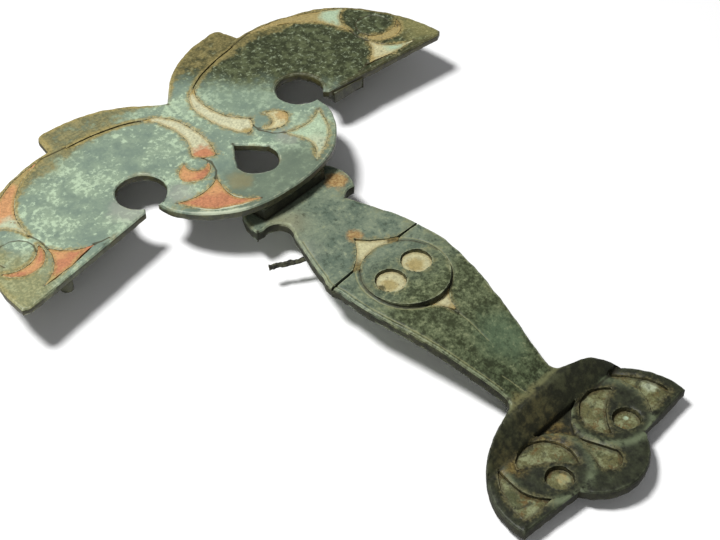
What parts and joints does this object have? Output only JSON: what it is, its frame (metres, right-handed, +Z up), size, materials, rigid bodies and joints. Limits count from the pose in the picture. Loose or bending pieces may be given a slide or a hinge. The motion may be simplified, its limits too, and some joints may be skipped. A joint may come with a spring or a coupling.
{
  "type": "bow brooch",
  "caption": "Ancient winged bow brooch (fibula): openwork head plate with inlaid cells, arched bow with a round boss, and a fanned foot; the pin is lost.",
  "frame": {"origin": "on the surface the brooch lies on, under the centre of its bounding box", "axes": "+Y from the foot towards the head plate, +X towards the right wing, +Z up, out of the decorated face"},
  "size_m": [0.076, 0.0884, 0.0082],
  "materials": {
    "patinated_bronze": "grey-green and olive patina with pale flecks and ochre dirt, matt to satin",
    "corroded_bar": "dark rough corrosion",
    "red_enamel": "decayed red-orange enamel, matt and pitted",
    "cream_enamel": "decayed cream enamel, matt and pitted",
    "turquoise_enamel": "decayed pale turquoise enamel, matt and pitted",
    "ochre_enamel": "earthy ochre bed in the foot's cells, matt"
  },
  "bodies": {
    "root": {"axis_bar": "corroded_bar", "bow": "patinated_bronze", "bow_head_enamel": "cream_enamel", "bow_tail_enamel": "cream_enamel", "foot_drop_enamel": "ochre_enamel", "head_plate": "patinated_bronze", "left_boss_hole_enamel": "cream_enamel", "left_foot_comma_enamel": "ochre_enamel", "left_foot_hole_enamel": "ochre_enamel", "left_foot_triangle_enamel": "ochre_enamel", "left_head_teardrop_enamel": "cream_enamel", "left_notch_crescent_enamel": "red_enamel", "left_pendant_triangle_enamel": "red_enamel", "left_wing_crescent_enamel": "red_enamel", "left_wing_dot_crescent_enamel": "red_enamel", "left_wing_triangle_enamel": "red_enamel", "right_boss_hole_enamel": "cream_enamel", "right_foot_comma_enamel": "ochre_enamel", "right_foot_hole_enamel": "ochre_enamel", "right_foot_triangle_enamel": "ochre_enamel", "right_head_teardrop_enamel": "cream_enamel", "right_notch_crescent_enamel": "cream_enamel", "right_pendant_triangle_enamel": "turquoise_enamel", "right_wing_crescent_enamel": "cream_enamel", "right_wing_dot_crescent_enamel": "cream_enamel", "right_wing_triangle_enamel": "turquoise_enamel"}
  },
  "joints": []
}
